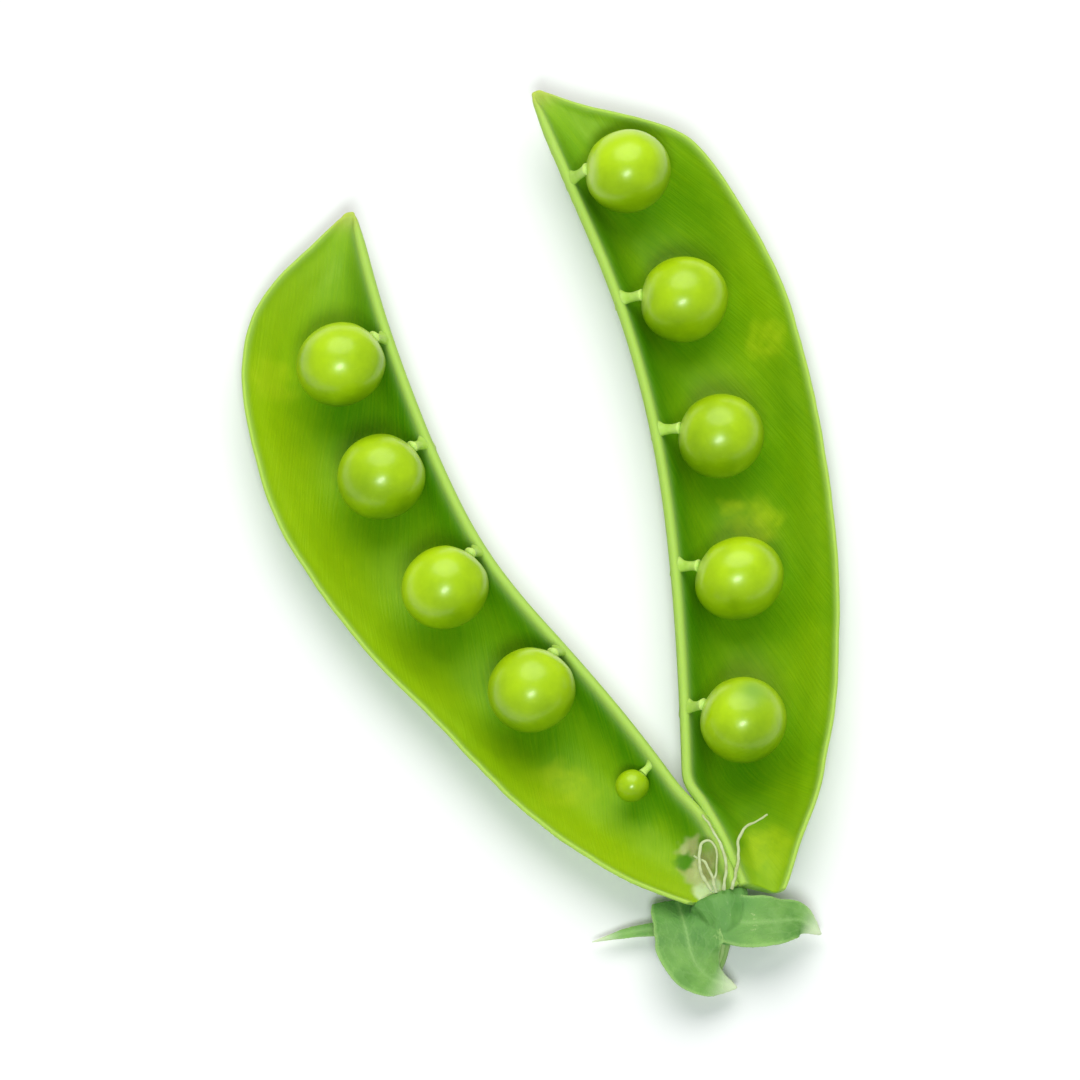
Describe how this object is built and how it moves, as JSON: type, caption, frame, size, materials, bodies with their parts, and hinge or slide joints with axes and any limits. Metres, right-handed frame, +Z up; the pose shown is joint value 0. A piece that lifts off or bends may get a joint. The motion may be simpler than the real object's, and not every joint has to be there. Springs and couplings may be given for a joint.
{
  "type": "garden pea pod",
  "caption": "Picked garden pea pod, split along both seams and laid open in a V, with the peas still on their short stalks and the calyx at its base.",
  "frame": {"origin": "on the surface that the pod lies on, under the middle of its outline", "axes": "+Y along the pod from its stalk to its tips, +X towards the right valve, +Z up out of the open hollows"},
  "size_m": [0.0552, 0.0954, 0.0113],
  "materials": {
    "pod_wall": "satin, moist inside; waxy and duller outside",
    "pea": "smooth taut skin with a soft shine",
    "calyx": "leafy, matt",
    "stem": "matt"
  },
  "bodies": {
    "root": {"valve_left": "pod_wall", "valve_right": "pod_wall", "pea_left_1": "pea", "pea_left_2": "pea", "pea_left_3": "pea", "pea_left_4": "pea", "pea_left_small": "pea", "pea_right_1": "pea", "pea_right_2": "pea", "pea_right_3": "pea", "pea_right_4": "pea", "pea_right_5": "pea", "calyx": "calyx", "pedicel": "stem"}
  },
  "joints": []
}
